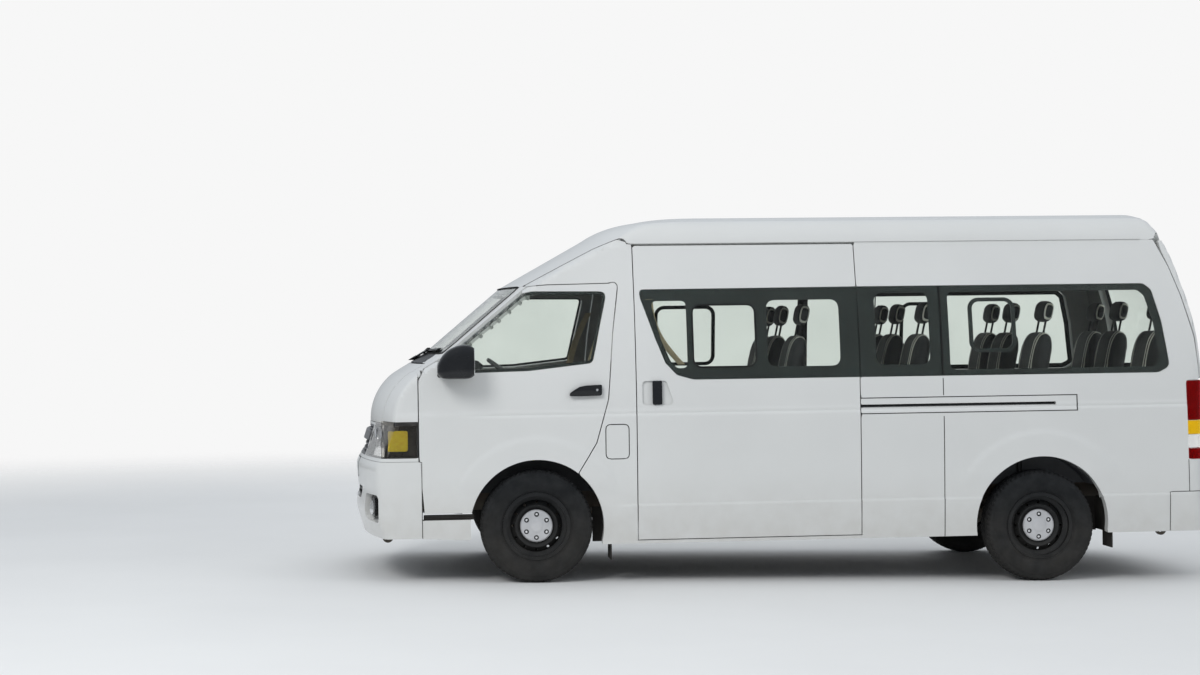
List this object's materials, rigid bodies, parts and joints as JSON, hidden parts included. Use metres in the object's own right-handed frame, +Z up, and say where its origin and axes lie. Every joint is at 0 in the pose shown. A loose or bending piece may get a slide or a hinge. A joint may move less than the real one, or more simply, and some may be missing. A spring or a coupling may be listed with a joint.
{
  "type": "minibus",
  "caption": "High-roof long-wheelbase minibus with sliding side door, top-hinged tailgate, hinged front doors and steered front wheels.",
  "frame": {"origin": "on the floor under the middle of the length and width", "axes": "+X to the front, +Y to the left side with the sliding door, +Z up"},
  "size_m": [5.3815, 2.27, 2.3162],
  "materials": {
    "paint": "off-white gloss paint",
    "glass": "tinted window glass",
    "black_plastic": "black grained plastic",
    "lamp_lens": "clear lamp lens",
    "grille_plastic": "dark glossy plastic",
    "head_lamp": "clear lamp unit",
    "tail_lamp": "red lamp unit",
    "frame_steel": "black chassis paint",
    "cast": "rough casting",
    "exhaust_steel": "dull steel",
    "wheel_steel": "black wheel paint with a silver cap",
    "tyre": "black rubber",
    "rubber": "black rubber",
    "trim_plastic": "dark grey cabin plastic",
    "seat_cloth": "dark woven cloth with light stripes",
    "floor_sheet": "dark grey floor sheet"
  },
  "bodies": {
    "root": {"roof_panel": "paint", "body_side_left": "paint", "body_side_right": "paint", "front_panel": "paint", "front_bumper": "paint", "rear_bumper": "paint", "sliding_door": "paint", "quarter_glass_left": "glass", "side_glass_right": "glass", "windscreen": "glass", "sliding_door_glass": "glass", "cowl": "black_plastic", "grille": "grille_plastic", "headlamp_lenses": "lamp_lens", "window_frames": "black_plastic", "front_wipers": "black_plastic", "headlamps": "head_lamp", "tail_lamps": "tail_lamp", "chassis_frame": "frame_steel", "leaf_springs": "frame_steel", "front_suspension": "frame_steel", "rear_axle": "frame_steel", "engine_block": "cast", "exhaust": "exhaust_steel", "propeller_shaft": "exhaust_steel", "fuel_tank": "black_plastic", "spare_wheel": "tyre", "mud_flaps": "rubber", "dashboard": "trim_plastic", "front_seats": "seat_cloth", "passenger_seats": "seat_cloth", "floor_pan": "floor_sheet"},
    "door_left": {"front_door_left": "paint", "front_door_glass_left": "glass", "mirror_left": "black_plastic"},
    "door_right": {"front_door_right": "paint", "front_door_glass_right": "glass", "mirror_right": "black_plastic"},
    "tailgate": {"tailgate": "paint", "tailgate_glass": "glass", "rear_wiper": "black_plastic"},
    "bonnet": {"bonnet": "paint"},
    "fuel_flap": {"fuel_flap": "paint"},
    "knuckle_left": {"knuckle_left": "cast"},
    "knuckle_right": {"knuckle_right": "cast"},
    "steering_wheel": {"steering_wheel": "trim_plastic"},
    "wheel_front_left": {"wheel_front_left": "wheel_steel", "tyre_front_left": "tyre"},
    "wheel_front_right": {"wheel_front_right": "wheel_steel", "tyre_front_right": "tyre"},
    "wheel_rear_left": {"wheel_rear_left": "wheel_steel", "tyre_rear_left": "tyre"},
    "wheel_rear_right": {"wheel_rear_right": "wheel_steel", "tyre_rear_right": "tyre"}
  },
  "joints": [
    {"name": "door_left_hinge", "type": "hinge", "parent": "root", "child": "door_left", "pos_m": [2.30022, 0.942, 0.88521], "axis": [-0.0209, 0, -0.9998], "range_deg": [0, 68]},
    {"name": "door_right_hinge", "type": "hinge", "parent": "root", "child": "door_right", "pos_m": [2.30022, -0.942, 0.88521], "axis": [0.0209, 0, 0.9998], "range_deg": [0, 68]},
    {"name": "tailgate_hinge", "type": "hinge", "parent": "root", "child": "tailgate", "pos_m": [-2.42111, 0, 2.11936], "axis": [0, 1, 0], "range_deg": [0, 84]},
    {"name": "bonnet_hinge", "type": "hinge", "parent": "root", "child": "bonnet", "pos_m": [2.35588, 0, 1.31114], "axis": [0, -1, 0], "range_deg": [0, 50]},
    {"name": "fuel_flap_hinge", "type": "hinge", "parent": "root", "child": "fuel_flap", "pos_m": [1.17677, 0.941, 0.85173], "axis": [-0.0209, 0, -0.9998], "range_deg": [0, 95]},
    {"name": "steer_left", "type": "hinge", "parent": "root", "child": "knuckle_left", "pos_m": [1.59, 0.765, 0.34], "axis": [0, 0, 1], "range_deg": [-34, 34]},
    {"name": "steer_right", "type": "hinge", "parent": "root", "child": "knuckle_right", "pos_m": [1.59, -0.765, 0.34], "axis": [0, 0, 1], "range_deg": [-34, 34]},
    {"name": "steering_wheel_turn", "type": "hinge", "parent": "root", "child": "steering_wheel", "pos_m": [1.67996, -0.43, 1.21327], "axis": [-0.585, 0, 0.8111], "range_deg": [-545, 545]},
    {"name": "wheel_front_left_spin", "type": "hinge", "parent": "knuckle_left", "child": "wheel_front_left", "pos_m": [1.59, 0.825, 0.34], "axis": [0, 1, 0], "continuous": true},
    {"name": "wheel_front_right_spin", "type": "hinge", "parent": "knuckle_right", "child": "wheel_front_right", "pos_m": [1.59, -0.825, 0.34], "axis": [0, 1, 0], "continuous": true},
    {"name": "wheel_rear_left_spin", "type": "hinge", "parent": "root", "child": "wheel_rear_left", "pos_m": [-1.52, 0.825, 0.34], "axis": [0, 1, 0], "continuous": true},
    {"name": "wheel_rear_right_spin", "type": "hinge", "parent": "root", "child": "wheel_rear_right", "pos_m": [-1.52, -0.825, 0.34], "axis": [0, 1, 0], "continuous": true}
  ],
  "couplings": [
    {"joint": "steer_right", "follows": "steer_left", "ratio": 1},
    {"joint": "steering_wheel_turn", "follows": "steer_left", "ratio": 16}
  ]
}
